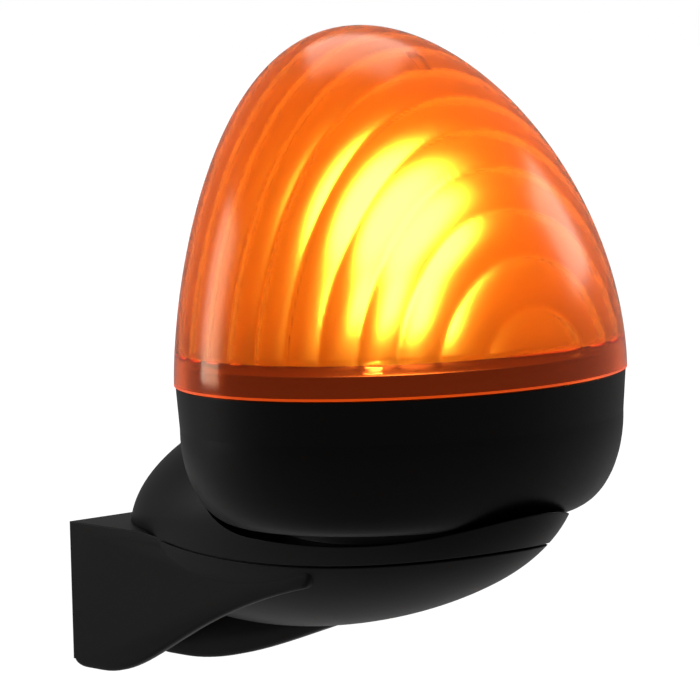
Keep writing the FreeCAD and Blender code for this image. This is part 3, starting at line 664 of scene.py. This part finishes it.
def flute_wave(points):
    """Depth of the flutes at points: a row of hollows |cos|^bulge across x, spaced evenly by angle, that
    start over the skirt with the smooth ramp 3 r^2 - 2 r^3."""
    angle = np.degrees(np.arccos(np.clip(points[..., 0] / half_depth, -1, 1)))
    phase = (angle - FLUTE_FIRST) / FLUTE_STEP
    hollow = np.abs(np.cos(np.pi * phase)) ** FLUTE_BULGE
    ramp = np.clip((points[..., 2] - FLUTE_FOOT) / FLUTE_FADE, 0, 1)
    return FLUTE_DEPTH * hollow * ramp * ramp * (3 - 2 * ramp)


def gate_bump(points):
    """Extra thickness where plastic was let into the mould: a small block on the inside, near the crown."""
    across = np.clip((GATE_SIZE[0] / 2 - np.abs(points[..., 0] - GATE_X)) / GATE_EDGE + 0.5, 0, 1)
    along = np.clip((GATE_SIZE[1] / 2 - np.abs(points[..., 1])) / GATE_EDGE + 0.5, 0, 1)
    upper = points[..., 2] > lens_height / 2
    return GATE_RISE * across * along * upper


def lens_points(rows=141, columns=480):
    """Rows of points up the outside to the crown, the lowest at the foot's edge, and rows up the inside
    that lie twice as close both ways."""
    turn, around = np.meshgrid(
        np.linspace(0, np.pi / 2, rows), np.linspace(0, 2 * np.pi, columns, endpoint=False), indexing="ij"
    )
    edge = np.arcsin((FOOT_EDGE / lens_height) ** (LENS_FULLNESS / 2))
    upward = np.append(0.0, np.linspace(edge, np.pi / 2, rows // 2 + 1))
    outside = egg(*np.meshgrid(upward, around[0, ::2], indexing="ij"), 0.0)
    plain = egg(turn, around, LENS_WALL)
    inside = egg(turn, around, LENS_WALL - flute_wave(plain) + gate_bump(plain))
    return outside, inside


outside, inside = lens_points()
print("lens wall mm:", round(LENS_WALL / MM, 2), "flute depth mm:", round(FLUTE_DEPTH / MM, 2))

# %% [markdown]
# ## Orange plastic
#
# The lens is tinted acrylic: light that goes through loses its blue and much of its green. Its outside came
# from a polished mould and is glossy. The fluted inside came from an etched one, which scatters the light
# and hides the bulb's outline. A share of the light stays in the plastic and makes the whole dome glow.

# %% Tinted acrylic
LENS_ORANGE = "#FFA828"
SKIRT_ORANGE = "#E8641C"
LENS_HAZE = "#863C00"
MIRROR_TINT = "#FFD492"
PAINTED_FOOT_GLOW = "#D84400"       # painted glow, for light that the wall would lead down to the foot
ACRYLIC_IOR = 1.49


def tinted_acrylic(name, colour, rough, grain_mm, depth, milky=0.0, painted_glow=0.0):
    """Clear coloured plastic. Grain gives the etched side its sparkle, and milky is the share of the
    surface that scatters light onward in all directions and swallows part of it. The last argument is a
    painted glow: emission that stands for light led down inside the wall."""
    material, tree, output = new_material(name)
    place = add(tree, "ShaderNodeTexCoord")
    grain = add(tree, "ShaderNodeTexNoise", {
        "Vector": place.outputs["Object"], "Scale": 1.0 / (grain_mm * MM), "Detail": 2.0,
    })
    bump = add(tree, "ShaderNodeBump", {
        "Height": grain.outputs["Fac"], "Strength": depth, "Distance": GRAIN_HEIGHT,
    })
    shader = add(tree, "ShaderNodeBsdfPrincipled", {
        "Base Color": linear(colour), "Roughness": rough, "IOR": ACRYLIC_IOR,
        "Transmission Weight": 1.0, "Specular IOR Level": 0.1, "Specular Tint": linear(MIRROR_TINT),
        "Normal": bump.outputs[0],
        "Emission Color": linear(PAINTED_FOOT_GLOW), "Emission Strength": painted_glow,
    })
    if milky:
        haze = add(tree, "ShaderNodeBsdfTranslucent", {
            "Color": linear(LENS_HAZE), "Normal": bump.outputs[0],
        })
        shader = add(tree, "ShaderNodeMixShader", {0: milky, 1: shader.outputs[0], 2: haze.outputs[0]})
    finish_material(tree, output, shader)
    return material


SMOOTH = dict(grain_mm=12.0, depth=0.02)     # faint waves, as every polished moulding has
ETCH = dict(grain_mm=0.9, depth=0.3)         # 0.1 mm on the real lens, drawn coarser so that it shows
polished_orange = tinted_acrylic("polished orange acrylic", LENS_ORANGE, rough=0.2, **SMOOTH)
etched_orange = tinted_acrylic("etched orange acrylic", LENS_ORANGE, rough=0.38, milky=0.55, **ETCH)
# painted glow on skirt and foot, standing for light led down inside the wall
skirt_orange = tinted_acrylic("clear orange skirt", SKIRT_ORANGE, rough=0.12, painted_glow=0.06, **SMOOTH)
foot_orange = tinted_acrylic("orange foot with painted glow", SKIRT_ORANGE, rough=0.3, painted_glow=0.8, **SMOOTH)

# %% The lens as one closed skin
def lens_skin(outside, inside):
    """Points of both sides, the faces of the outside, and those of the inside turned to face the bulb."""
    rows_out, columns_out = outside.shape[:2]
    rows_in, columns_in = inside.shape[:2]
    low = np.array([axis_x, 0.0, lens_low.z])
    points = np.concatenate([outside.reshape(-1, 3), inside.reshape(-1, 3)]) + low
    outer = grid_faces(rows_out, columns_out)
    inner = grid_faces(rows_in, columns_in)[:, ::-1] + rows_out * columns_out
    return points, outer, inner


def foot_ring(outside):
    """Flat ring between the lowest rows of outside and inside: each outer edge meets two inner edges."""
    columns = outside.shape[1]
    first = outside.shape[0] * columns
    a = np.arange(columns)
    b = np.roll(a, -1)
    c, d, e = first + 2 * a, first + 2 * a + 1, first + 2 * b
    return np.stack([a, c, d, e, b], axis=-1)


points, outer, inner = lens_skin(outside, inside)
ring = foot_ring(outside)
faces = outer.tolist() + ring.tolist() + inner.tolist()
POLISHED, ETCHED, SKIRT, FOOT = range(4)
height = points[:, 2] - lens_low.z
outer_slots = np.where(height[outer].mean(axis=1) < FLUTE_FOOT, SKIRT, POLISHED)
outer_slots[height[outer].max(axis=1) < 1.01 * FOOT_EDGE] = FOOT
inner_slots = np.where(height[inner].mean(axis=1) < FLUTE_FOOT, SKIRT, ETCHED)
slots = np.concatenate([outer_slots, np.full(len(ring), FOOT), inner_slots]).astype(np.int32)
lens_materials = [polished_orange, etched_orange, skirt_orange, foot_orange]
lens = mesh_piece("lens", points, faces, "lens", lens_materials, slots)
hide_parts("lens_dome")

# %% [markdown]
# ## Bare metal
#
# Plated screws, the nickel cap, brass strips and a sheet of aluminium were drawn or rolled, so their gloss
# varies in fine lines. One function serves them all; only colour and gloss differ.

# %% Bare metal
LINE_STRETCH = (1.0, 1.0, 0.1)
LINE_SPREAD = (-0.1, 0.12)


def bare_metal(name, colour, rough, line_mm):
    """Metal whose roughness wanders along fine drawn lines."""
    material, tree, output = new_material(name)
    place = add(tree, "ShaderNodeTexCoord")
    drawn = add(tree, "ShaderNodeMapping", {"Vector": place.outputs["Object"], "Scale": LINE_STRETCH})
    lines = add(tree, "ShaderNodeTexNoise", {
        "Vector": drawn.outputs[0], "Scale": 1.0 / (line_mm * MM), "Detail": 3.0,
    })
    gloss = add(tree, "ShaderNodeMapRange", {
        "Value": lines.outputs["Fac"], "To Min": rough + LINE_SPREAD[0], "To Max": rough + LINE_SPREAD[1],
    })
    shader = add(tree, "ShaderNodeBsdfPrincipled", {
        "Base Color": linear(colour), "Metallic": 1.0, "Roughness": gloss.outputs[0],
    })
    finish_material(tree, output, shader)
    return material


# %% [markdown]
# ## The bulb
#
# A pearl golf-ball bulb: the inside of the glass is frosted, so when it burns the whole ball glows, hottest
# round the filament and least at the neck. It is far brighter than the paper behind the lamp, which is why
# the lens is white and yellow in front of it. Its screw cap is rolled from thin sheet, and the thread is
# a wave in that sheet.

# %% Glowing pearl glass
BULB_LIGHT = "#F4F6FF"
RIM_BLEND = 0.6
PAINTED_RIM_FACING = (0.1, 0.62)        # how far the glass turns from view where the painted dark rim starts and is full
BULB_STRENGTHS = (50.0, 64.0, 80.0, 66.0)     # from the neck up to the crown


def burning_glass(strength):
    """Frosted glass lit from inside. Seen edge-on, as at the ball's rim, its glow is painted out: a dull
    tan glass takes its place there, which shines back the room.
    """
    material, tree, output = new_material(f"burning pearl glass {strength:.0f}")
    edge_on = add(tree, "ShaderNodeLayerWeight", {"Blend": RIM_BLEND})
    rim = add(tree, "ShaderNodeMapRange", {
        "Value": edge_on.outputs["Facing"], "From Min": PAINTED_RIM_FACING[0], "From Max": PAINTED_RIM_FACING[1],
    })
    # painted shade: dull tan glass without glow, for the ball's rim
    skin = add(tree, "ShaderNodeBsdfPrincipled", {"Base Color": linear("#B8A988"), "Roughness": 0.25})
    shader = add(tree, "ShaderNodeBsdfPrincipled", {
        "Base Color": linear("#FFF6E4"), "Roughness": 0.25,
        "Emission Color": linear(BULB_LIGHT), "Emission Strength": strength,
    })
    shader = add(tree, "ShaderNodeMixShader", {0: rim.outputs[0], 1: shader.outputs[0], 2: skin.outputs[0]})
    finish_material(tree, output, shader)
    return material


def glow_zones(name, materials):
    """Gives the faces of a CAD node their materials by height, in equally high zones from the foot up."""
    mesh = nodes[name].data
    mesh.materials.clear()
    for material in materials:
        mesh.materials.append(material)
    height = np.array([face.center.z for face in mesh.polygons])
    share = (height - height.min()) / np.ptp(height)
    zones = np.minimum(share * len(materials), len(materials) - 1).astype(np.int32)
    mesh.polygons.foreach_set("material_index", zones)
    print(name, "faces in each zone:", np.bincount(zones).tolist())


glass_zones = [burning_glass(strength) for strength in BULB_STRENGTHS]
glow_zones("bulb_glass", glass_zones)
dress(glass_zones[0], "bulb_stem")
dress(glass_zones[2], "bulb_filament")

# %% The cap and its rolled thread
THREAD_PITCH = 3.63 * MM
THREAD_DEPTH = 0.5 * MM
SHEET = 0.35 * MM
cap_low, cap_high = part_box("bulb_cap")
cap_radius = (cap_high.x - cap_low.x) / 2
cap_height = cap_high.z - cap_low.z


def thread_wave(z, around):
    """How far the sheet goes in: half of depth * (1 + cos(2 pi z / pitch - a)), faded out at both ends."""
    fade = np.clip(np.minimum(z, cap_height - z) / THREAD_PITCH, 0, 1)
    return THREAD_DEPTH * fade * (1 + np.cos(2 * np.pi * z / THREAD_PITCH - around)) / 2


def cap_points(rows=90, columns=96):
    """The sheet's outside from the middle of the floor up to the rim, then its inside back down."""
    around = np.linspace(0, 2 * np.pi, columns, endpoint=False)
    up = np.linspace(0, cap_height, rows)[:, None]
    outside = cap_radius - thread_wave(up, around)
    down = up[::-1] + SHEET * (1 - up[::-1] / cap_height)
    inside = cap_radius - SHEET - thread_wave(up[::-1], around)
    radius = np.concatenate([0 * around[None], outside, inside, 0 * around[None]])
    z = np.concatenate([up[:1], up, down, down[-1:]]) + 0 * around
    return np.stack([radius * np.cos(around), radius * np.sin(around), z], axis=-1)


nickel = bare_metal("nickel-plated cap", "#CFCBC2", 0.3, 0.8)
grid = cap_points()
cap_faces = grid_faces(*grid.shape[:2]).tolist()
cap_place = np.array([axis_x, 0.0, cap_low.z])
cap = mesh_piece("threaded_cap", grid.reshape(-1, 3) + cap_place, cap_faces, "bulb", [nickel])
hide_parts("bulb_cap")

# %% [markdown]
# ## Small parts
#
# Under the lens are screws and the white lamp holder; the cup hides the flasher board. These parts keep the
# solids' shapes and get the finish of what they are made of: plated, moulded, dipped or laminated.

# %% Screws, strips and sheet
zinc = bare_metal("zinc-plated steel", "#C6C9CE", 0.32, 0.6)
dress(zinc, "base_screws", "deck_screws", "holder_screws", "board_screws", "terminal_screws")
dress(bare_metal("rolled brass", "#D8B46A", 0.3, 0.8), "socket_shell", "socket_contact", "fuse_clips")
dress(bare_metal("tin solder", "#B9BABC", 0.4, 0.5), "bulb_contact")
dress(bare_metal("mill-finish aluminium", "#C9CBCE", 0.38, 0.7), "heat_sink")

# %% Moulded, dipped and laminated parts
dress(moulded("white urea moulding", "#E4E0D6", 0.3, 0.8, 0.1), "lamp_holder")
dress(moulded("black rubber", "#151515", 0.7, 0.8, 0.3), "lens_seal", "cable_grommet")
dress(moulded("dark glass button", "#14110F", 0.12, 2.0, 0.05), "bulb_insulator")
dress(moulded("green glass-fibre laminate", "#1E5A38", 0.4, 0.5, 0.2), "flasher_board")
dress(moulded("green nylon", "#2F8A57", 0.45, 0.8, 0.15), "terminal_block")
dress(moulded("blue shrink sleeve", "#1B2E66", 0.3, 3.0, 0.05), "capacitor")
dress(moulded("black epoxy", "#161616", 0.5, 0.5, 0.25), "triac")
dress(moulded("tan lacquer", "#B48A5A", 0.35, 1.0, 0.1), "resistor")
dress(moulded("clear fuse glass", "#D8DEDC", 0.08, 4.0, 0.02), "fuse")
dress(moulded("red wire sleeve", "#A8241C", 0.4, 2.0, 0.05), "holder_leads")
